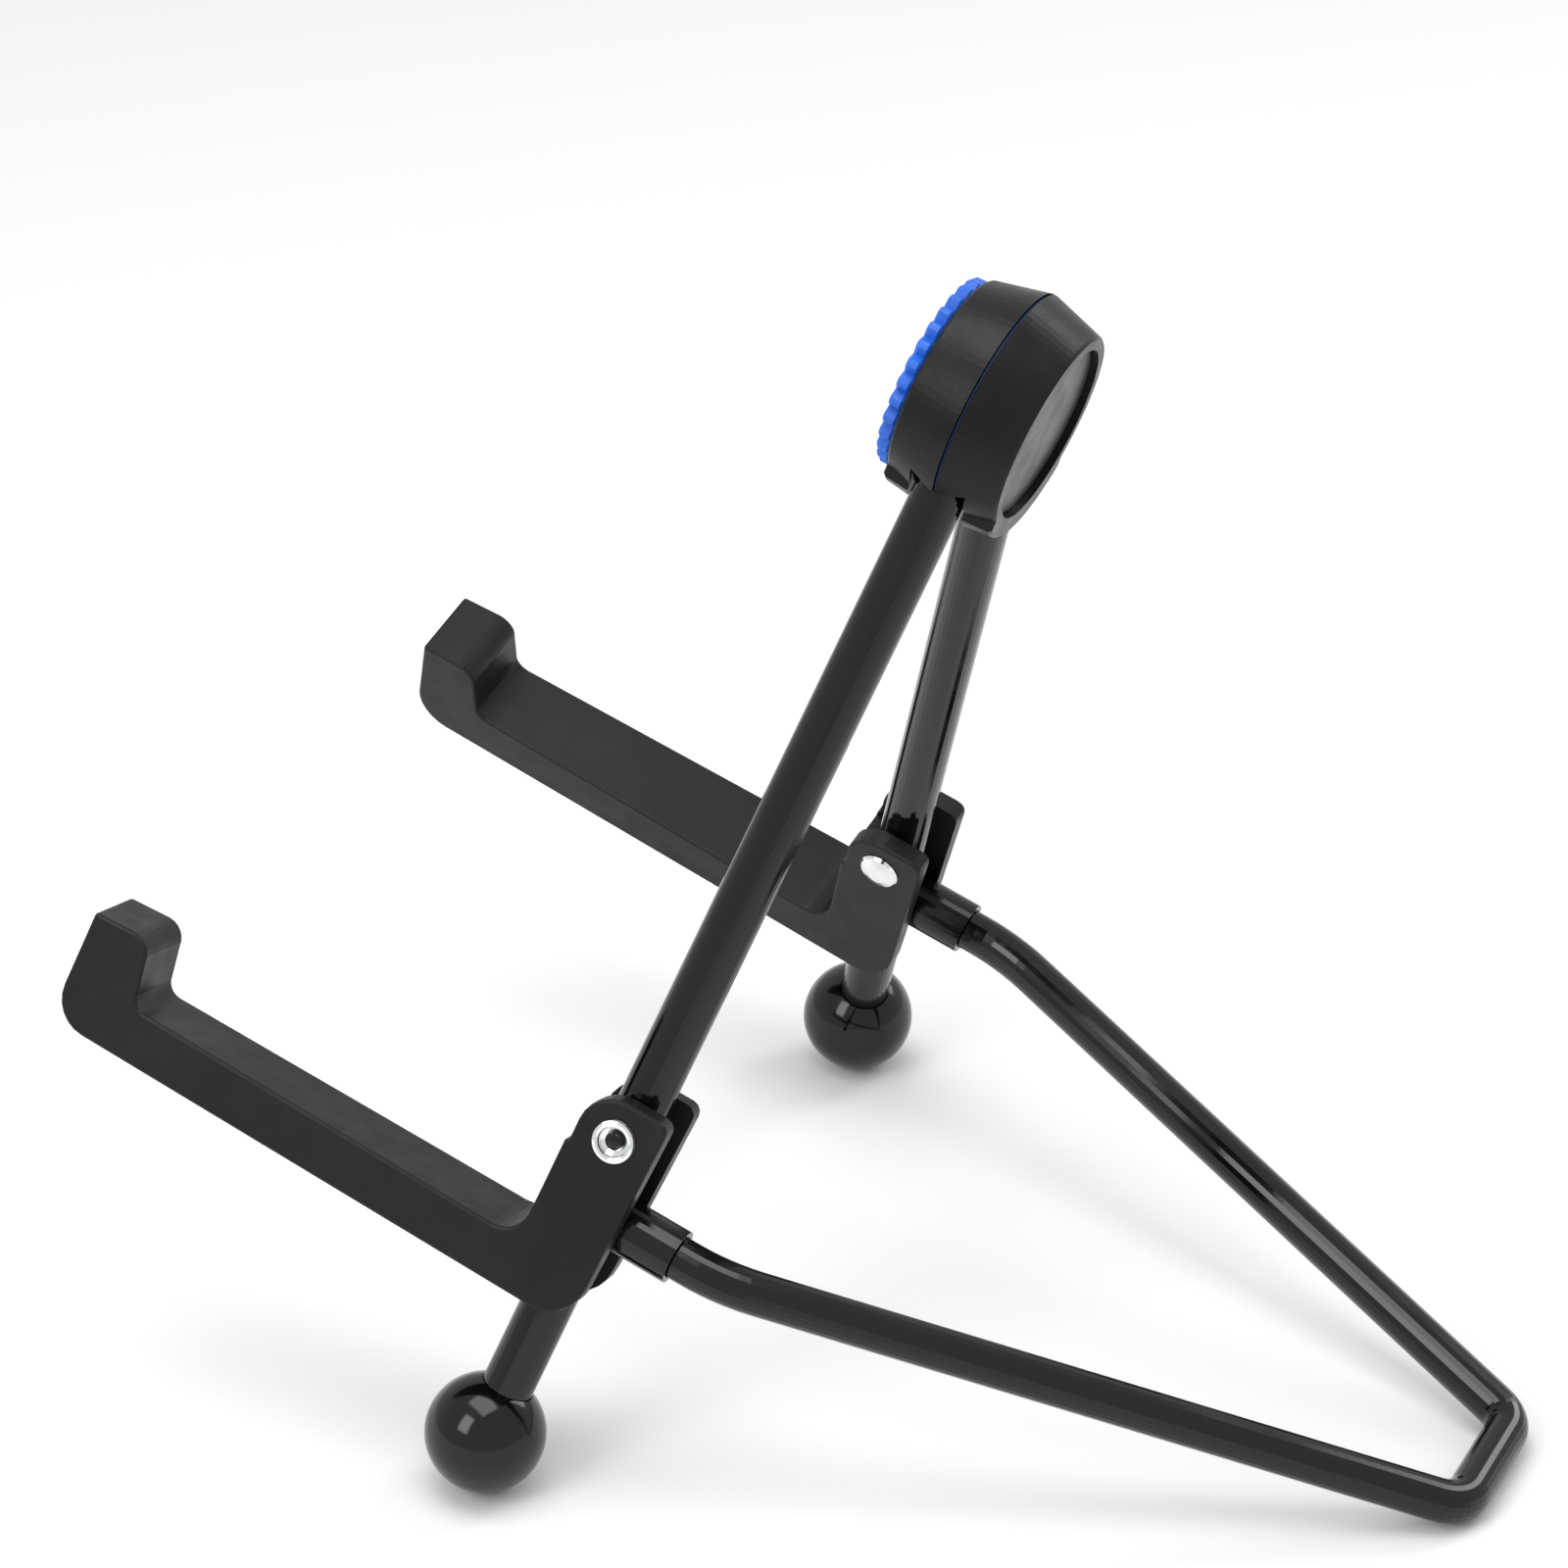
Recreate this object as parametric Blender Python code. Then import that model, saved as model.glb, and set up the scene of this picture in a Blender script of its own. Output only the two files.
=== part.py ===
"""Folding instrument stand: two splayed legs under a round head, two hooked arms, a plug-in rear frame."""
import math

import bmesh
import bpy
from mathutils import Matrix, Vector

# Driving dimensions in millimetres and degrees
MM = 0.001
LEAN = math.radians(18.6)
SPLAY = math.radians(19.6)
GAP = 0.3

LEG_R = 9.5
LEG_WALL = 1.5
FOOT_HALF_SPACING = 156.9
FEET_FORWARD = 77.023
BALL_R = 22.0
BALL_POCKET_FLOOR = 3.2
STUD_R = 4.0
STUD_BELOW = 12.0
FOOT_PLUG_LENGTH = 20.0

HEAD_HEIGHT = 384.75
LEG_TOP_PAST_PIVOT = 11.0
TOP_PLUG_LENGTH = 26.0
SEAM_R = 42.2
SEAM_HALF = 0.6
SHELL_WALL = 2.5
RIM_R = 37.0
SKIRT_R = 40.1
SKIRT_HALF_ANGLE = math.radians(48)
FRONT_DEPTH = 21.1
REAR_DEPTH = 21.5
EDGE_ROUND = 1.0
FRONT_PLATE = 3.5
RECESS_R = 32.1
RECESS_FLOOR = 13.5
REAR_PLATE = 2.6
CAP_THICK = 1.6
CAP_SINK = 2.6
GASKET_THICK = 0.6
GASKET_SINK = 0.8
GASKET_WIDTH = 1.4
SLOT_CLEARANCE = 1.1
SLOT_TOP = 5.0

PAD_R = 35.4
PAD_THICK = 5.2
PAD_TEETH = 30
PAD_TOOTH_DEPTH = 2.6
PAD_ROUND = 1.0
TOOTH_STEPS = 6

PIN_R = 4.0
PIN_HEAD_R = 6.5
PIN_HEAD_THICK = 3.0
BUSH_R = 8.0
HOLE_CLEARANCE = 0.3

SOCKET_UP = 95.6
SOCKET_R = 10.2
SOCKET_REACH = 35.0
FRAME_R = 8.0
FRAME_WALL = 1.5
FRONT_BEND_R = 76.0
REAR_BEND_R = 13.0
FRAME_TAPER = math.radians(20.5)
FRAME_END_HALF = 28.2

ARM_HALF_WIDTH = 18.4
HOOK_HALF_WIDTH = 15.2
CHEEK_GAP_HALF = 10.7
ARM_BOTTOM = 58.4
ARM_TOP = 78.3
CHEEK_TOP = 143.1
UPRIGHT_FRONT = 16.3
UPRIGHT_FRONT_UPPER = 14.9
UPRIGHT_REAR_LOW = 13.9
UPRIGHT_REAR_TOP = 16.0
WEB_BELOW_RIVET = 10.5
STEP_HEIGHT = 119.5
HOOK_FRONT = 208.4
HOOK_INNER = 183.7
HOOK_TOP = 103.6
HOOK_TIP_R = 8.0
NECK_R = 6.0
HEEL_R = 16.0
TOE_R = 14.0
FILLET_R = 11.0
CHEEK_CORNER_R = 14.0
REAR_CORNER_R = 4.0
ARM_BEVEL = 1.2

RIVET_UP = 128.4
RIVET_R = 5.0
RIVET_HOLE_R = 3.6
RIVET_RIM_R = 8.1
RIVET_RIM_THICK = 1.2
RIVET_DOME = 2.5
SPACER_WALL = 1.4
SPACER_HALF = 3.6

TUBE_SEGMENTS = 32
BORE_SEGMENTS = 24
SHELL_SEGMENTS = 90


# Frames of reference: legs' plane, head and each side
X_AXIS = Vector((1, 0, 0))
BACK = Vector((0, math.cos(LEAN), -math.sin(LEAN)))
UP = Vector((0, math.sin(LEAN), math.cos(LEAN)))
FEET_LEVEL = Vector((0, -FEET_FORWARD, BALL_R))
PIVOT_UP = HEAD_HEIGHT / math.cos(SPLAY)
PIVOT_X = FOOT_HALF_SPACING - HEAD_HEIGHT * math.tan(SPLAY)


def frame_matrix(origin, x, y, z):
    """A rigid frame in metres from an origin in millimetres and three directions."""
    rotation = Matrix((x, y, z)).transposed().to_4x4()
    return Matrix.Translation(origin * MM) @ rotation


def side_matrix(side):
    """Frame of one leg: x across, y rearward, z up the leg from the foot's centre."""
    across = X_AXIS * math.cos(SPLAY) + UP * side * math.sin(SPLAY)
    along = UP * math.cos(SPLAY) - X_AXIS * side * math.sin(SPLAY)
    return frame_matrix(FEET_LEVEL + X_AXIS * side * FOOT_HALF_SPACING, across, BACK, along)


PLANE = frame_matrix(FEET_LEVEL, X_AXIS, BACK, UP)
HEAD = frame_matrix(FEET_LEVEL + UP * HEAD_HEIGHT, X_AXIS, -UP, BACK)


# Helpers
def clear_scene():
    for item in list(bpy.data.objects):
        bpy.data.objects.remove(item, do_unlink=True)


def material(name, colour, roughness, metallic=0.0):
    mat = bpy.data.materials.new(name)
    mat.use_nodes = True
    shader = mat.node_tree.nodes["Principled BSDF"]
    shader.inputs["Base Color"].default_value = (*colour, 1)
    shader.inputs["Roughness"].default_value = roughness
    shader.inputs["Metallic"].default_value = metallic
    return mat


def place(name, bm, matrix, parent=None, finish=None):
    """Turn a bmesh in millimetres into a placed object in metres."""
    bmesh.ops.recalc_face_normals(bm, faces=bm.faces)
    bmesh.ops.scale(bm, vec=(MM, MM, MM), verts=bm.verts)
    mesh = bpy.data.meshes.new(name)
    bm.to_mesh(mesh)
    bm.free()
    mesh.shade_smooth()
    mesh.set_sharp_from_angle(angle=math.radians(35))
    item = bpy.data.objects.new(name, mesh)
    bpy.context.collection.objects.link(item)
    item.parent = parent
    item.matrix_world = matrix
    if finish:
        mesh.materials.append(material(name, *finish))
    return item


def pivot(name, matrix, parent=None):
    empty = bpy.data.objects.new(name, None)
    bpy.context.collection.objects.link(empty)
    empty.parent = parent
    empty.matrix_world = matrix
    bpy.context.view_layer.update()
    return empty


def rings_body(rings, closed_profile):
    """Join rings of equal length; the ends meet each other, or close to a point of their own."""
    bm = bmesh.new()
    loops = [[bm.verts.new(p) for p in ring] for ring in rings]
    count = len(loops[0])
    pairs = list(zip(loops, loops[1:]))
    if closed_profile:
        pairs.append((loops[-1], loops[0]))
    for low, high in pairs:
        for i in range(count):
            j = (i + 1) % count
            bm.faces.new((low[i], low[j], high[j], high[i]))
    if not closed_profile:
        bm.faces.new(loops[0])
        bm.faces.new(loops[-1])
    return bm


def circle(radius, z, segments):
    turn = math.tau / segments
    return [(radius * math.cos(turn * i), radius * math.sin(turn * i), z) for i in range(segments)]


def turned(profile, segments=TUBE_SEGMENTS, closed_profile=False):
    """Solid of revolution about z from (radius, z) points."""
    return rings_body([circle(r, z, segments) for r, z in profile], closed_profile)


def pipe(outer, inner, low, high, segments=TUBE_SEGMENTS):
    return turned([(outer, low), (outer, high), (inner, high), (inner, low)], segments, True)


def rod(radius, low, high, segments=BORE_SEGMENTS):
    return turned([(radius, low), (radius, high)], segments)


def extruded(points, half):
    """Prism across x of a closed outline of (y, z) points."""
    return rings_body([[(-half, y, z) for y, z in points], [(half, y, z) for y, z in points]], False)


def box(x, y, z):
    corners = [(y[0], z[0]), (y[1], z[0]), (y[1], z[1]), (y[0], z[1])]
    return extruded(corners, x)


def aim(axis):
    """Rotation that turns z to the axis named."""
    if axis == "x":
        return Matrix.Rotation(math.radians(90), 4, "Y")
    if axis == "y":
        return Matrix.Rotation(math.radians(-90), 4, "X")
    return Matrix.Identity(4)


def shift(x=0.0, y=0.0, z=0.0):
    return Matrix.Translation(Vector((x, y, z)) * MM)


def cut(item, name, bm, matrix):
    """Take a wire cutter out of an object."""
    cutter = place(name, bm, matrix)
    cutter.hide_render = True
    cutter.display_type = "WIRE"
    modifier = item.modifiers.new(name, "BOOLEAN")
    modifier.operation = "DIFFERENCE"
    modifier.object = cutter


def arc(centre, radius, start, end, steps=6):
    """Points of a circular arc in a plane, angles in degrees."""
    angles = [math.radians(start + (end - start) * i / steps) for i in range(steps + 1)]
    return [(centre[0] + radius * math.cos(a), centre[1] + radius * math.sin(a)) for a in angles]


# Finishes: colour, roughness, metallic
GLOSS_BLACK = ((0.012, 0.012, 0.012), 0.12, 0.0)
SATIN_BLACK = ((0.022, 0.022, 0.022), 0.38, 0.0)
CAP_BLACK = ((0.03, 0.03, 0.03), 0.3, 0.0)
BLUE_RUBBER = ((0.012, 0.13, 0.65), 0.45, 0.0)
STEEL = ((0.55, 0.56, 0.58), 0.25, 1.0)
CHROME = ((0.85, 0.86, 0.88), 0.06, 1.0)
NYLON = ((0.75, 0.74, 0.7), 0.5, 0.0)


# Head: a clamshell of two tapered shells
def shell_ring(radius, skirt, z):
    """One ring of a shell; its lower sector keeps the skirt's radius where that is larger."""
    points = []
    for i in range(SHELL_SEGMENTS):
        angle = math.tau * i / SHELL_SEGMENTS
        below = abs((angle - math.pi / 2 + math.pi) % math.tau - math.pi)
        r = max(radius, skirt) if below < SKIRT_HALF_ANGLE else radius
        points.append((r * math.cos(angle), r * math.sin(angle), z))
    return points


def leg_slots(item, label):
    """Cut the opening through which both legs leave the head, wide enough for their whole fold."""
    half = LEG_R + SLOT_CLEARANCE
    spread = math.tan(SPLAY)
    beside = PIVOT_X + half / math.cos(SPLAY)
    top, bottom = SLOT_TOP, SEAM_R * 1.4
    outline = [(-beside - top * spread, top), (beside + top * spread, top),
               (beside + bottom * spread, bottom), (-beside - bottom * spread, bottom)]
    rings = [[(x, y, z) for x, y in outline] for z in (-half, half)]
    cut(item, label + "_slot", rings_body(rings, False), HEAD)


def pin_holes(item, label, half_length, level):
    for side in (1, -1):
        hole = rod(PIN_R + HOLE_CLEARANCE, -half_length, half_length)
        cut(item, f"{label}_pin_{side}", hole, HEAD @ shift(x=side * PIVOT_X, z=level))


def build_head():
    seam_inner = SEAM_R - SHELL_WALL
    rim_inner = RIM_R - SHELL_WALL
    front = [shell_ring(SEAM_R, SEAM_R, -SEAM_HALF),
             shell_ring(RIM_R, SKIRT_R, -FRONT_DEPTH + EDGE_ROUND),
             shell_ring(RIM_R - EDGE_ROUND, SKIRT_R - EDGE_ROUND, -FRONT_DEPTH)]
    front_inner = [shell_ring(rim_inner, rim_inner, -FRONT_DEPTH + FRONT_PLATE),
                   shell_ring(seam_inner, seam_inner, -SEAM_HALF)]
    bm = shell_body(front, front_inner)
    item = place("head_front_shell", bm, HEAD, None, SATIN_BLACK)
    leg_slots(item, "front")
    pin_holes(item, "front", FRONT_PLATE + 2, -FRONT_DEPTH + FRONT_PLATE / 2)

    rear = [shell_ring(SEAM_R, SEAM_R, SEAM_HALF),
            shell_ring(RIM_R, SKIRT_R, REAR_DEPTH - EDGE_ROUND),
            shell_ring(RIM_R - EDGE_ROUND, SKIRT_R - EDGE_ROUND, REAR_DEPTH),
            shell_ring(RECESS_R, RECESS_R, REAR_DEPTH),
            shell_ring(RECESS_R, RECESS_R, RECESS_FLOOR)]
    rear_inner = [shell_ring(rim_inner, rim_inner, RECESS_FLOOR - REAR_PLATE),
                  shell_ring(seam_inner, seam_inner, SEAM_HALF)]
    item = place("head_rear_shell", shell_body(rear, rear_inner), HEAD, None, SATIN_BLACK)
    leg_slots(item, "rear")
    pin_holes(item, "rear", REAR_PLATE + 2, RECESS_FLOOR - REAR_PLATE / 2)

    outer = SEAM_R - GASKET_SINK
    half = GASKET_THICK / 2
    bm = pipe(outer, outer - GASKET_WIDTH, -half, half, SHELL_SEGMENTS)
    item = place("seam_gasket", bm, HEAD, None, BLUE_RUBBER)
    leg_slots(item, "gasket")

    cap_top = REAR_DEPTH - CAP_SINK
    cap_r = RECESS_R - GAP
    bm = turned([(cap_r, cap_top - CAP_THICK), (cap_r, cap_top - 0.4), (cap_r - 0.4, cap_top)], 64)
    place("rear_cap", bm, HEAD, None, CAP_BLACK)
    build_pad()
    build_pins()


def shell_body(outer, inner):
    """Cup: outer rings to a closed face, inner rings from a closed face back to the seam."""
    bm = bmesh.new()
    loops = [[bm.verts.new(p) for p in ring] for ring in outer + inner]
    closing = [(len(outer) - 1, len(outer))]
    for a in range(len(loops)):
        b = (a + 1) % len(loops)
        if (a, b) in closing:
            continue
        for i in range(SHELL_SEGMENTS):
            j = (i + 1) % SHELL_SEGMENTS
            bm.faces.new((loops[a][i], loops[a][j], loops[b][j], loops[b][i]))
    bm.faces.new(loops[len(outer) - 1])
    bm.faces.new(loops[len(outer)])
    return bm


def pad_ring(radius, depth, z):
    """Ring with rounded teeth: flat-topped bumps parted by round-bottomed grooves."""
    points = []
    count = PAD_TEETH * TOOTH_STEPS
    for i in range(count):
        wave = 0.5 + 0.5 * math.cos(math.tau * i / TOOTH_STEPS)
        r = radius - depth * wave ** 2
        angle = math.tau * i / count
        points.append((r * math.cos(angle), r * math.sin(angle), z))
    return points


def build_pad():
    back = -FRONT_DEPTH - GAP
    front = back - PAD_THICK
    rings = [pad_ring(PAD_R - PAD_ROUND, PAD_TOOTH_DEPTH, back),
             pad_ring(PAD_R, PAD_TOOTH_DEPTH, back - PAD_ROUND),
             pad_ring(PAD_R, PAD_TOOTH_DEPTH, front + PAD_ROUND),
             pad_ring(PAD_R - PAD_ROUND, PAD_TOOTH_DEPTH, front)]
    place("rest_pad", rings_body(rings, False), HEAD, None, BLUE_RUBBER)


def build_pins():
    plate_front = -FRONT_DEPTH + FRONT_PLATE
    plate_rear = RECESS_FLOOR - REAR_PLATE
    for side, word in ((1, "right"), (-1, "left")):
        at_pivot = HEAD @ shift(x=side * PIVOT_X)
        head_low = RECESS_FLOOR + GAP
        head_top = head_low + PIN_HEAD_THICK
        profile = [(PIN_R, -FRONT_DEPTH + GAP), (PIN_R, head_low), (PIN_HEAD_R, head_low),
                   (PIN_HEAD_R, head_top - 0.6), (PIN_HEAD_R - 0.6, head_top)]
        place(word + "_pivot_bolt", turned(profile, BORE_SEGMENTS), at_pivot, None, STEEL)
        bore = PIN_R + HOLE_CLEARANCE
        bm = pipe(BUSH_R, bore, plate_front + GAP, -LEG_R - GAP, BORE_SEGMENTS)
        place(word + "_front_bush", bm, at_pivot, None, NYLON)
        bm = pipe(BUSH_R, bore, LEG_R + GAP, plate_rear - GAP, BORE_SEGMENTS)
        place(word + "_rear_bush", bm, at_pivot, None, NYLON)


# One leg with its foot, plugs and rear socket
def build_leg(side, word):
    frame = side_matrix(side)
    hinge = pivot(word + "_leg_pivot", frame @ shift(z=PIVOT_UP))
    bore = LEG_R - LEG_WALL
    plug_r = bore - GAP
    top = PIVOT_UP + LEG_TOP_PAST_PIVOT
    bottom = BALL_POCKET_FLOOR + GAP
    pin_hole = PIN_R + HOLE_CLEARANCE
    rivet_hole = RIVET_R + HOLE_CLEARANCE

    tube = place(word + "_leg_tube", pipe(LEG_R, bore, bottom, top), frame, hinge, GLOSS_BLACK)
    cut(tube, word + "_tube_pin", rod(pin_hole, -20, 20), frame @ shift(z=PIVOT_UP) @ aim("y"))
    cut(tube, word + "_tube_rivet", rod(rivet_hole, -20, 20), frame @ shift(z=RIVET_UP) @ aim("x"))

    bm = rod(plug_r, top - TOP_PLUG_LENGTH, top - 1)
    plug = place(word + "_leg_top_plug", bm, frame, hinge, NYLON)
    cut(plug, word + "_plug_pin", rod(pin_hole, -20, 20), frame @ shift(z=PIVOT_UP) @ aim("y"))

    bm = pipe(plug_r, STUD_R + GAP, bottom + GAP, bottom + FOOT_PLUG_LENGTH, BORE_SEGMENTS)
    place(word + "_foot_plug", bm, frame, hinge, NYLON)
    bm = rod(STUD_R, -STUD_BELOW, bottom + FOOT_PLUG_LENGTH)
    place(word + "_foot_stud", bm, frame, hinge, STEEL)

    bm = bmesh.new()
    bmesh.ops.create_uvsphere(bm, u_segments=36, v_segments=20, radius=BALL_R)
    ball = place(word + "_ball_foot", bm, frame, hinge, GLOSS_BLACK)
    cut(ball, word + "_ball_pocket", rod(LEG_R + GAP, BALL_POCKET_FLOOR, BALL_R + 5, TUBE_SEGMENTS), frame)
    cut(ball, word + "_ball_bore", rod(STUD_R + GAP, -STUD_BELOW - GAP, BALL_R), frame)

    at_socket = frame @ shift(z=SOCKET_UP) @ aim("y")
    bm = pipe(SOCKET_R, FRAME_R + GAP, LEG_R * 0.6, SOCKET_REACH)
    socket = place(word + "_frame_socket", bm, at_socket, hinge, GLOSS_BLACK)
    cut(socket, word + "_saddle", rod(LEG_R + GAP, SOCKET_UP - 30, SOCKET_UP + 30, TUBE_SEGMENTS), frame)

    build_rivet(side, word, frame, hinge)
    build_arm(word, frame, hinge)


def build_rivet(side, word, frame, hinge):
    """Hollow rivet across the leg: open rim on the outside, domed head on the inside."""
    face = ARM_HALF_WIDTH + GAP
    rim = face + RIVET_RIM_THICK
    inner = -face
    floor = face - 6
    at_rivet = frame @ shift(z=RIVET_UP) @ aim("x") @ Matrix.Rotation(math.pi * (side < 0), 4, "Y")
    profile = [(0.5, inner - RIVET_DOME), (RIVET_RIM_R * 0.55, inner - RIVET_DOME * 0.82),
               (RIVET_RIM_R * 0.9, inner - RIVET_DOME * 0.4), (RIVET_RIM_R, inner), (RIVET_R, inner),
               (RIVET_R, face), (RIVET_RIM_R, face), (RIVET_RIM_R - 0.4, rim - 0.3),
               (RIVET_RIM_R - 1.4, rim), (RIVET_RIM_R - 2.4, rim - 0.3), (RIVET_RIM_R - 3.0, face - 0.4),
               (RIVET_HOLE_R, face - 1.5), (RIVET_HOLE_R, floor)]
    place(word + "_arm_rivet", turned(profile), at_rivet, hinge, CHROME)
    plug_r = RIVET_HOLE_R - GAP
    profile = [(plug_r, floor + GAP), (plug_r, face - 1.6), (plug_r * 0.7, face - 0.8), (0.4, face - 0.5)]
    place(word + "_rivet_plug", turned(profile, BORE_SEGMENTS), at_rivet, hinge, GLOSS_BLACK)
    bore = RIVET_R + GAP
    bm = pipe(bore + SPACER_WALL, bore, -SPACER_HALF, SPACER_HALF, BORE_SEGMENTS)
    place(word + "_rivet_spacer", bm, at_rivet, hinge, NYLON)


def arm_outline():
    """Side view of the arm as (y, z): hook in front, level arm, upright round the leg."""
    hook_y = -HOOK_FRONT
    tip = -HOOK_INNER
    points = arc((hook_y + TOE_R, ARM_BOTTOM + TOE_R), TOE_R, 270, 180)
    points += [(hook_y, HOOK_TOP - 1)]
    points += arc((tip - HOOK_TIP_R, HOOK_TOP - HOOK_TIP_R), HOOK_TIP_R, 90, 0)
    neck = tip + 2
    points += arc((neck + NECK_R, ARM_TOP + NECK_R), NECK_R, 180, 270)
    front = -UPRIGHT_FRONT
    points += arc((front - FILLET_R, ARM_TOP + FILLET_R), FILLET_R, 270, 360)
    upper = -UPRIGHT_FRONT_UPPER
    points += [(front, STEP_HEIGHT), (upper, STEP_HEIGHT + 1.5)]
    points += arc((upper + CHEEK_CORNER_R, CHEEK_TOP - CHEEK_CORNER_R), CHEEK_CORNER_R, 180, 90)
    points += arc((UPRIGHT_REAR_TOP - REAR_CORNER_R, CHEEK_TOP - REAR_CORNER_R), REAR_CORNER_R, 90, 0, 3)
    points += arc((UPRIGHT_REAR_LOW - HEEL_R, ARM_BOTTOM + HEEL_R), HEEL_R, 0, -90)
    return points


def arm_body():
    """The outline given its width, which narrows evenly from the upright to the hook."""
    bm = extruded(arm_outline(), ARM_HALF_WIDTH)
    for vert in bm.verts:
        share = max(0.0, (-vert.co.y - UPRIGHT_FRONT) / (HOOK_FRONT - UPRIGHT_FRONT))
        half = ARM_HALF_WIDTH + (HOOK_HALF_WIDTH - ARM_HALF_WIDTH) * share
        vert.co.x = math.copysign(half, vert.co.x)
    return bm


def build_arm(word, frame, leg_pivot):
    hinge = pivot(word + "_arm_pivot", frame @ shift(z=RIVET_UP), leg_pivot)
    arm = place(word + "_arm", arm_body(), frame, hinge, SATIN_BLACK)
    bevel = arm.modifiers.new("edges", "BEVEL")
    bevel.width = ARM_BEVEL * MM
    bevel.segments = 2
    bevel.limit_method = "ANGLE"
    bevel.angle_limit = math.radians(50)
    channel = box(CHEEK_GAP_HALF, (-LEG_R - GAP, 60), (ARM_BOTTOM - 20, CHEEK_TOP + 20))
    cut(arm, word + "_channel", channel, frame)
    web_top = RIVET_UP - WEB_BELOW_RIVET
    cut(arm, word + "_front_gap", box(CHEEK_GAP_HALF, (-60, 0), (web_top, CHEEK_TOP + 20)), frame)
    hole = rod(RIVET_R + HOLE_CLEARANCE, -40, 40)
    cut(arm, word + "_rivet_hole", hole, frame @ shift(z=RIVET_UP) @ aim("x"))


# Rear frame: one bent tube from socket to socket
def frame_route():
    """Centre line of the frame's right half as (x, y) in the frame's own plane."""
    end_x = FOOT_HALF_SPACING - SOCKET_UP * math.sin(SPLAY)
    lift = SOCKET_UP * math.cos(SPLAY) * math.cos(LEAN) + BALL_R - FRAME_R
    rear_y = lift / math.sin(LEAN)
    start_y = SOCKET_REACH + GAP
    corner_y = rear_y - (end_x - FRAME_END_HALF) / math.tan(FRAME_TAPER)
    reach = FRONT_BEND_R * math.tan(FRAME_TAPER / 2)
    route = [(end_x, start_y)]
    taper = math.degrees(FRAME_TAPER)
    route += arc((end_x - FRONT_BEND_R, corner_y - reach), FRONT_BEND_R, 0, taper, 6)
    turn = math.pi / 2 - FRAME_TAPER
    back = REAR_BEND_R * math.tan(turn / 2)
    centre = (FRAME_END_HALF - back, rear_y - REAR_BEND_R)
    route += arc(centre, REAR_BEND_R, taper, 90, 8)
    return route


def frame_rings(route, radius, segments):
    rings = []
    points = [Vector((x, y, 0)) for x, y in route]
    for i, point in enumerate(points):
        before = points[max(i - 1, 0)]
        after = points[min(i + 1, len(points) - 1)]
        along = (after - before).normalized()
        out = Vector((along.y, -along.x, 0))
        ring = []
        for k in range(segments):
            angle = math.tau * k / segments
            ring.append(point + out * radius * math.cos(angle) + Vector((0, 0, radius * math.sin(angle))))
        rings.append(ring)
    return rings


def build_frame():
    half = frame_route()
    route = half + [(-x, y) for x, y in reversed(half)]
    outer = frame_rings(route, FRAME_R, BORE_SEGMENTS)
    inner = frame_rings(route, FRAME_R - FRAME_WALL, BORE_SEGMENTS)
    level = PLANE @ shift(z=SOCKET_UP * math.cos(SPLAY))
    hinge = pivot("rear_frame_slide", level @ shift(y=SOCKET_REACH))
    bm = rings_body(outer + inner[::-1], True)
    place("rear_frame", bm, level, hinge, GLOSS_BLACK)


def main():
    clear_scene()
    build_head()
    for side, word in ((1, "right"), (-1, "left")):
        build_leg(side, word)
    build_frame()


main()
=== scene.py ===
"""Looks of the folding instrument stand: materials, finer meshes, a plain pale floor and soft light."""
import math

import bmesh
import bpy
from mathutils import Matrix, Vector


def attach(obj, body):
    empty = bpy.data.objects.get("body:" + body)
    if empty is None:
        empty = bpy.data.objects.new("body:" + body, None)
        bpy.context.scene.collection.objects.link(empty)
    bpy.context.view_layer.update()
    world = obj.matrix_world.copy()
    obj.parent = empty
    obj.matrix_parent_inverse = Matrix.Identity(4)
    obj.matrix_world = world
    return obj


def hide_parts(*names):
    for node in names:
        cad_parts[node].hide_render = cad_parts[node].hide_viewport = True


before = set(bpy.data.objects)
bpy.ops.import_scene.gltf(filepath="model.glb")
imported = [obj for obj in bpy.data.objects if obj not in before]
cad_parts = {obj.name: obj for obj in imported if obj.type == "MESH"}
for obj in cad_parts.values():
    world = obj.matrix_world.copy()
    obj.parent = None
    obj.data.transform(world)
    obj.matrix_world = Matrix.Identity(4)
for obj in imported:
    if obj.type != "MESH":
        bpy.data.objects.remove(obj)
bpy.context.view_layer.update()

# Sizes in millimetres and angles, as in the part's source
MM = 0.001
LEAN = math.radians(18.6)
SPLAY = math.radians(19.6)
FEET_FORWARD = 77.023
BALL_R = 22.0
FINE_BALL_R = 21.98
POCKET_R = 9.8
POCKET_FLOOR = 3.2
STUD_BORE_R = 4.3
STUD_BORE_END = -12.3
FOOT_HALF_SPACING = 156.9
X_AXIS = Vector((1, 0, 0))
BACK = Vector((0, math.cos(LEAN), -math.sin(LEAN)))
UP = Vector((0, math.sin(LEAN), math.cos(LEAN)))
FEET_LEVEL = Vector((0, -FEET_FORWARD, BALL_R))
SHARP_ANGLE = math.radians(40)

# Camera in metres from the floor midway between the feet, fitted to the photo
CAMERA_FROM_FEET = (1.4854, 0.7634, 1.1502)
CAMERA_BACK = Vector((0.7838, 0.3802, 0.4911))
LENS = 120.73
SENSOR_WIDTH = 36
FAR_CLIP = 50

# Floor and light
FLOOR_HALF = 6
FLOOR_DROP = 0.0002
FLOOR_COLOUR = (0.86, 0.86, 0.86)
FLOOR_ROUGHNESS = 0.75
SKY_STRENGTH = 0.75
LIGHT_TARGET = (0, 0, 0.2)


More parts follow.
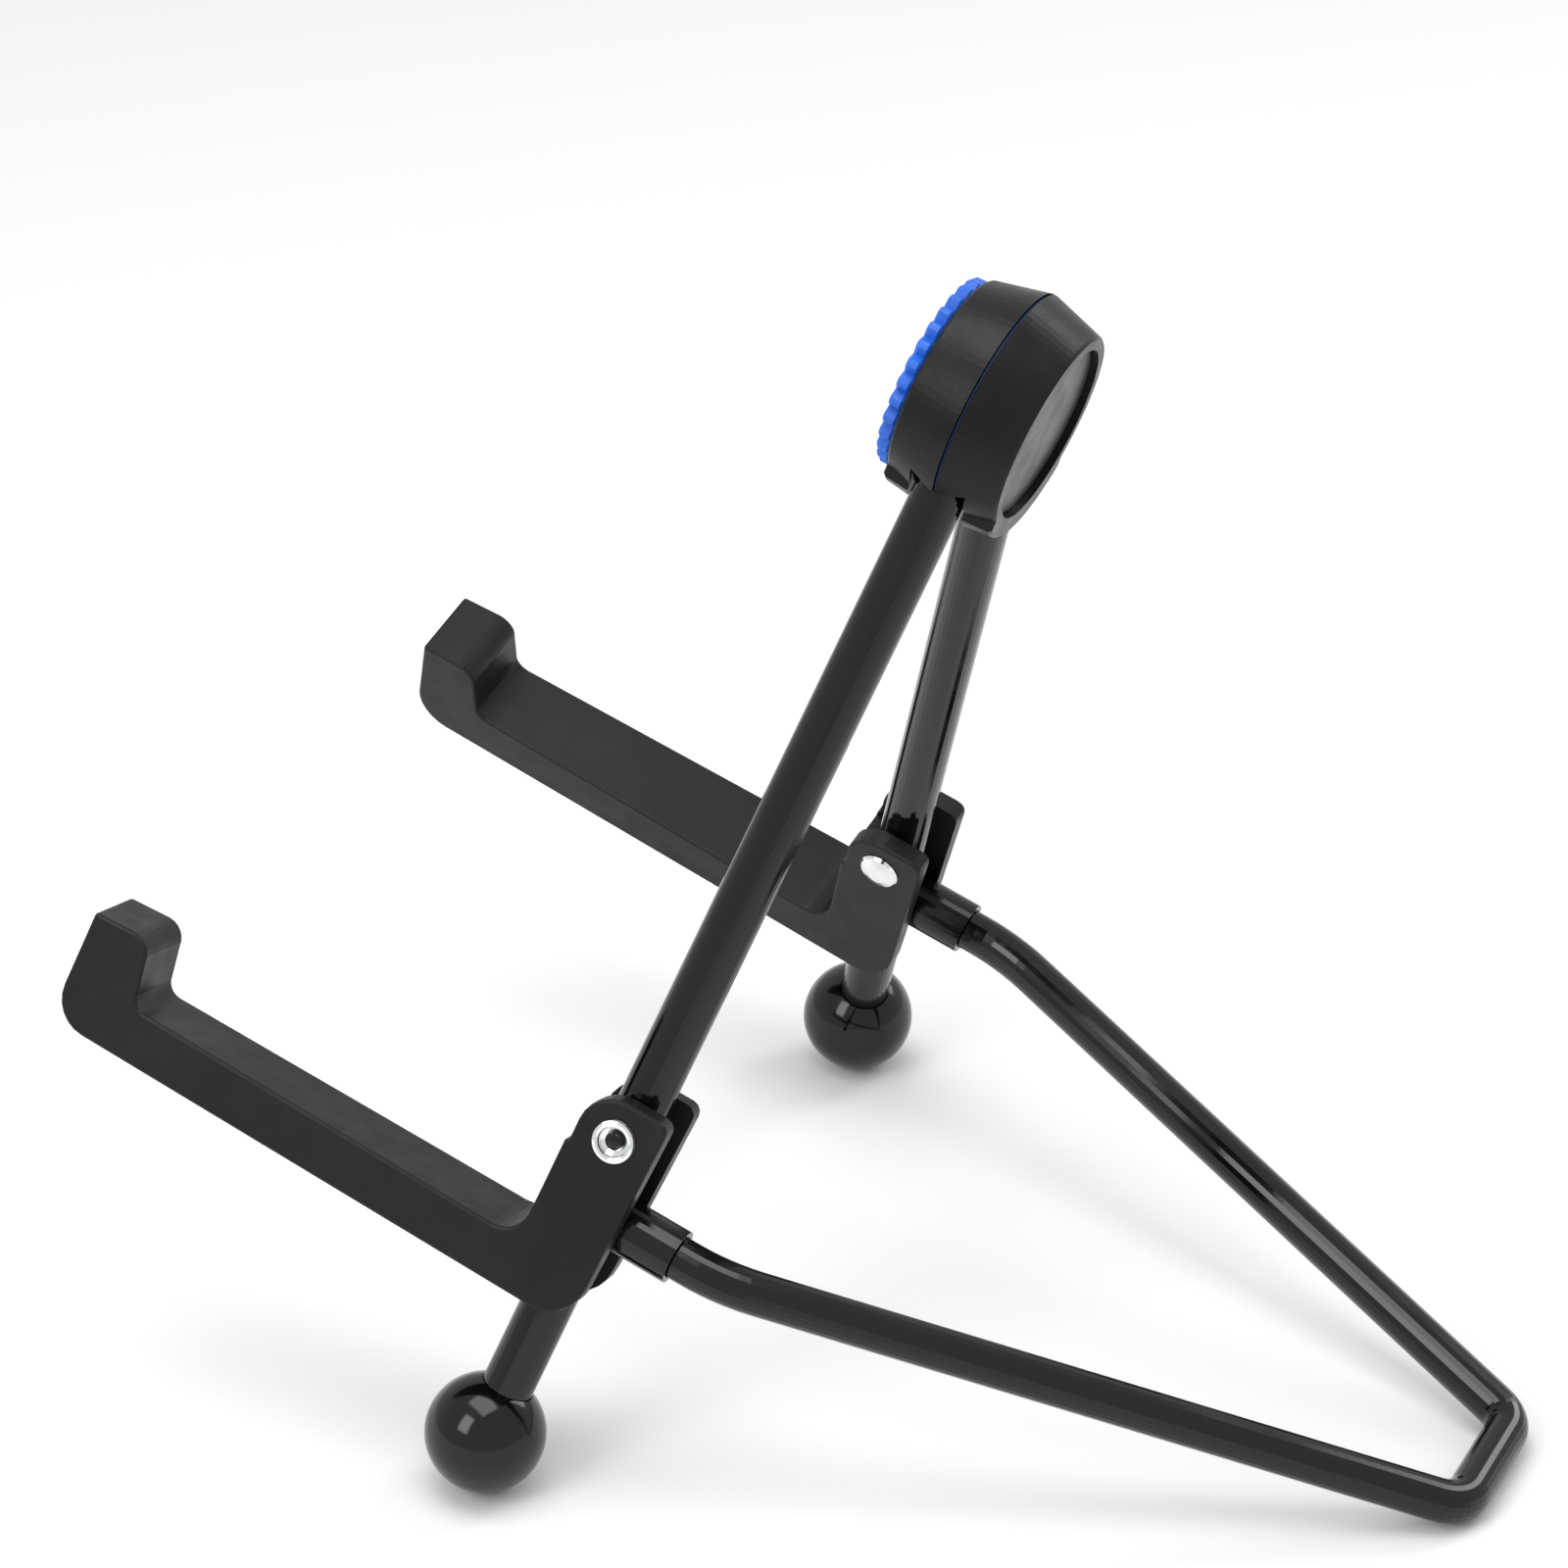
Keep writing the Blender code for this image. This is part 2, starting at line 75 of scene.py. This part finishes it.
# Material helpers
def new_material(name, colour, roughness, metallic=0.0, specular=0.5):
    mat = bpy.data.materials.new(name)
    mat.use_nodes = True
    shader = mat.node_tree.nodes["Principled BSDF"]
    shader.inputs["Base Color"].default_value = (*colour, 1)
    shader.inputs["Roughness"].default_value = roughness
    shader.inputs["Metallic"].default_value = metallic
    shader.inputs["Specular IOR Level"].default_value = specular
    return mat


def noise(mat, scale, detail=4.0, stretch=(1, 1, 1)):
    """A noise value in the object's own coordinates."""
    tree = mat.node_tree
    coords = tree.nodes.new("ShaderNodeTexCoord")
    mapping = tree.nodes.new("ShaderNodeMapping")
    mapping.inputs["Scale"].default_value = stretch
    texture = tree.nodes.new("ShaderNodeTexNoise")
    texture.inputs["Scale"].default_value = scale
    texture.inputs["Detail"].default_value = detail
    tree.links.new(coords.outputs["Object"], mapping.inputs["Vector"])
    tree.links.new(mapping.outputs["Vector"], texture.inputs["Vector"])
    return texture.outputs["Fac"]


def vary(mat, source, socket, low, high, start=0.35, end=0.65):
    """Drive a plain socket between two values by a source value."""
    tree = mat.node_tree
    spread = tree.nodes.new("ShaderNodeMapRange")
    spread.inputs["From Min"].default_value = start
    spread.inputs["From Max"].default_value = end
    spread.inputs["To Min"].default_value = low
    spread.inputs["To Max"].default_value = high
    tree.links.new(source, spread.inputs["Value"])
    tree.links.new(spread.outputs["Result"], tree.nodes["Principled BSDF"].inputs[socket])


def tint(mat, source, low, high, start=0.35, end=0.65):
    """Drive the base colour between two colours by a source value."""
    tree = mat.node_tree
    ramp = tree.nodes.new("ShaderNodeValToRGB")
    ramp.color_ramp.elements[0].position = start
    ramp.color_ramp.elements[0].color = (*low, 1)
    ramp.color_ramp.elements[1].position = end
    ramp.color_ramp.elements[1].color = (*high, 1)
    tree.links.new(source, ramp.inputs["Fac"])
    tree.links.new(ramp.outputs["Color"], tree.nodes["Principled BSDF"].inputs["Base Color"])


def bump(mat, source, strength, distance):
    tree = mat.node_tree
    node = tree.nodes.new("ShaderNodeBump")
    node.inputs["Strength"].default_value = strength
    node.inputs["Distance"].default_value = distance
    tree.links.new(source, node.inputs["Height"])
    tree.links.new(node.outputs["Normal"], tree.nodes["Principled BSDF"].inputs["Normal"])


def enamel():
    mat = new_material("gloss_enamel", (0.002, 0.002, 0.002), 0.1, 0.0, 0.42)
    vary(mat, noise(mat, 35), "Roughness", 0.07, 0.14)
    bump(mat, noise(mat, 420, 2), 0.06, 0.0002)
    return mat


def gloss_plastic():
    mat = new_material("gloss_plastic", (0.002, 0.002, 0.002), 0.1, 0.0, 0.4)
    vary(mat, noise(mat, 60), "Roughness", 0.08, 0.16)
    bump(mat, noise(mat, 260, 2), 0.05, 0.0002)
    return mat


def moulded(name, low, high, rough_low, rough_high, grain):
    mat = new_material(name, low, rough_low, 0.0, 0.22)
    tint(mat, noise(mat, 18), low, high)
    vary(mat, noise(mat, 90), "Roughness", rough_low, rough_high)
    bump(mat, noise(mat, grain, 6), 0.22, 0.0003)
    return mat


def rubber():
    mat = new_material("blue_rubber", (0.01, 0.12, 0.62), 0.45)
    tint(mat, noise(mat, 40), (0.008, 0.105, 0.56), (0.013, 0.14, 0.68))
    vary(mat, noise(mat, 120), "Roughness", 0.38, 0.55)
    bump(mat, noise(mat, 900, 4), 0.25, 0.0003)
    return mat


def metal(name, colour, rough_low, rough_high, stretch):
    mat = new_material(name, colour, rough_low, 1.0)
    vary(mat, noise(mat, 500, 3, stretch), "Roughness", rough_low, rough_high)
    bump(mat, noise(mat, 700, 3, stretch), 0.05, 0.0001)
    return mat


def nylon():
    mat = new_material("nylon", (0.72, 0.71, 0.67), 0.5)
    tint(mat, noise(mat, 50), (0.68, 0.67, 0.62), (0.76, 0.75, 0.71))
    bump(mat, noise(mat, 500, 3), 0.15, 0.0002)
    return mat


FINISH = {
    "enamel": enamel(),
    "gloss": gloss_plastic(),
    "satin": moulded("satin_plastic", (0.007, 0.007, 0.007), (0.011, 0.011, 0.011), 0.34, 0.46, 1400),
    "shell": moulded("shell_plastic", (0.004, 0.004, 0.004), (0.007, 0.007, 0.007), 0.28, 0.38, 1100),
    "cap": moulded("cap_plastic", (0.03, 0.03, 0.032), (0.042, 0.042, 0.045), 0.28, 0.4, 800),
    "rubber": rubber(),
    # Gasket colour: its own navy blue, darkened further as painted shade of the recessed seam between the
    # head halves
    "gasket": moulded("gasket_rubber_painted_seam_shade", (0.002, 0.012, 0.06), (0.003, 0.018, 0.09), 0.4, 0.55, 900),
    "chrome": metal("chrome", (0.86, 0.87, 0.88), 0.05, 0.12, (1, 1, 1)),
    "steel": metal("steel", (0.55, 0.56, 0.58), 0.2, 0.34, (1, 1, 6)),
    "nylon": nylon(),
}
WORDS = {
    "leg_tube": "enamel", "frame_socket": "enamel", "rear_frame": "enamel", "ball_foot": "gloss",
    "rivet_plug": "gloss", "arm_rivet": "chrome", "head_front_shell": "shell", "head_rear_shell": "shell",
    "rear_cap": "cap", "rest_pad": "rubber", "seam_gasket": "gasket", "pivot_bolt": "steel",
    "foot_stud": "steel", "leg_top_plug": "nylon", "foot_plug": "nylon", "rivet_spacer": "nylon",
    "front_bush": "nylon", "rear_bush": "nylon", "arm": "satin",
}


def finish_of(name):
    short = name.split("_", 1)[1] if name.startswith(("right_", "left_")) else name
    return FINISH[WORDS[short]]


# Finer closed meshes for the ball feet
def frame_matrix(origin, x, y, z):
    rotation = Matrix((x, y, z)).transposed().to_4x4()
    return Matrix.Translation(origin * MM) @ rotation


def side_matrix(side):
    across = X_AXIS * math.cos(SPLAY) + UP * side * math.sin(SPLAY)
    along = UP * math.cos(SPLAY) - X_AXIS * side * math.sin(SPLAY)
    return frame_matrix(FEET_LEVEL + X_AXIS * side * FOOT_HALF_SPACING, across, BACK, along)


def fine(name, bm, matrix, body, node):
    """Add a finer mesh that stands for one CAD node and rides on its body."""
    bmesh.ops.recalc_face_normals(bm, faces=bm.faces)
    bmesh.ops.scale(bm, vec=(MM, MM, MM), verts=bm.verts)
    bmesh.ops.transform(bm, matrix=matrix, verts=bm.verts)
    mesh = bpy.data.meshes.new(name)
    bm.to_mesh(mesh)
    bm.free()
    mesh.shade_smooth()
    mesh.set_sharp_from_angle(angle=SHARP_ANGLE)
    item = bpy.data.objects.new(name, mesh)
    bpy.context.scene.collection.objects.link(item)
    mesh.materials.append(finish_of(node))
    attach(item, body)
    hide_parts(node)


def ball_body(steps=56, segments=96):
    """Closed ball with the leg's round pocket and the stud's blind bore."""
    low, rim = math.radians(-88), math.acos(POCKET_R / FINE_BALL_R)
    angles = [low + (rim - low) * i / steps for i in range(steps + 1)]
    profile = [(FINE_BALL_R * math.cos(a), FINE_BALL_R * math.sin(a)) for a in angles]
    profile += [(POCKET_R, POCKET_FLOOR), (STUD_BORE_R, POCKET_FLOOR), (STUD_BORE_R, STUD_BORE_END)]
    bm = bmesh.new()
    loops = []
    for r, z in profile:
        turns = [math.tau * i / segments for i in range(segments)]
        loops.append([bm.verts.new((r * math.cos(turn), r * math.sin(turn), z)) for turn in turns])
    for lower, upper in zip(loops, loops[1:]):
        for i in range(segments):
            j = (i + 1) % segments
            bm.faces.new((lower[i], lower[j], upper[j], upper[i]))
    bm.faces.new(loops[0])
    bm.faces.new(loops[-1])
    return bm


def dress_frame():
    """Give each CAD node the finish of its kind."""
    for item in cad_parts.values():
        finish = finish_of(item.name.split(".")[0])
        for slot in item.material_slots:
            slot.material = finish


def build_balls():
    for side, word in ((1, "right"), (-1, "left")):
        fine(word + "_ball_fine", ball_body(), side_matrix(side), word + "_leg", word + "_ball_foot")


# Floor, light and camera
def area_light(name, location, width, height, power):
    """A soft rectangle of light turned to the middle of the stand."""
    data = bpy.data.lights.new(name, "AREA")
    data.shape = "RECTANGLE"
    data.size = width
    data.size_y = height
    data.energy = power
    item = bpy.data.objects.new(name, data)
    item.location = location
    item.rotation_euler = (Vector(location) - Vector(LIGHT_TARGET)).to_track_quat("Z", "Y").to_euler()
    bpy.context.scene.collection.objects.link(item)


def build_floor():
    mesh = bpy.data.meshes.new("floor")
    half = FLOOR_HALF
    corners = [(-half, -half, 0), (half, -half, 0), (half, half, 0), (-half, half, 0)]
    mesh.from_pydata(corners, [], [(0, 1, 2, 3)])
    floor = bpy.data.objects.new("floor", mesh)
    floor.location.z = -FLOOR_DROP
    bpy.context.scene.collection.objects.link(floor)
    mesh.materials.append(new_material("pale_floor", FLOOR_COLOUR, FLOOR_ROUGHNESS))


def build_sky():
    world = bpy.data.worlds.new("soft_sky")
    bpy.context.scene.world = world
    world.use_nodes = True
    background = world.node_tree.nodes["Background"]
    background.inputs["Color"].default_value = (1, 1, 1, 1)
    background.inputs["Strength"].default_value = SKY_STRENGTH


def build_camera():
    data = bpy.data.cameras.new("camera")
    data.lens = LENS
    data.sensor_width = SENSOR_WIDTH
    data.clip_end = FAR_CLIP
    camera = bpy.data.objects.new("camera", data)
    x, y, z = CAMERA_FROM_FEET
    camera.location = (x, y - FEET_FORWARD * MM, z)
    camera.rotation_euler = CAMERA_BACK.to_track_quat("Z", "Y").to_euler()
    bpy.context.scene.collection.objects.link(camera)
    bpy.context.scene.camera = camera


dress_frame()
build_balls()
build_floor()
build_sky()
area_light("overhead", (0.2, -0.1, 1.9), 1.4, 1.1, 16)
area_light("key", (1.7, -0.7, 1.5), 0.8, 1.2, 14)
area_light("rim", (-1.6, 0.9, 1.3), 0.7, 1.1, 10)
build_camera()
bpy.context.scene.view_settings.view_transform = "Standard"
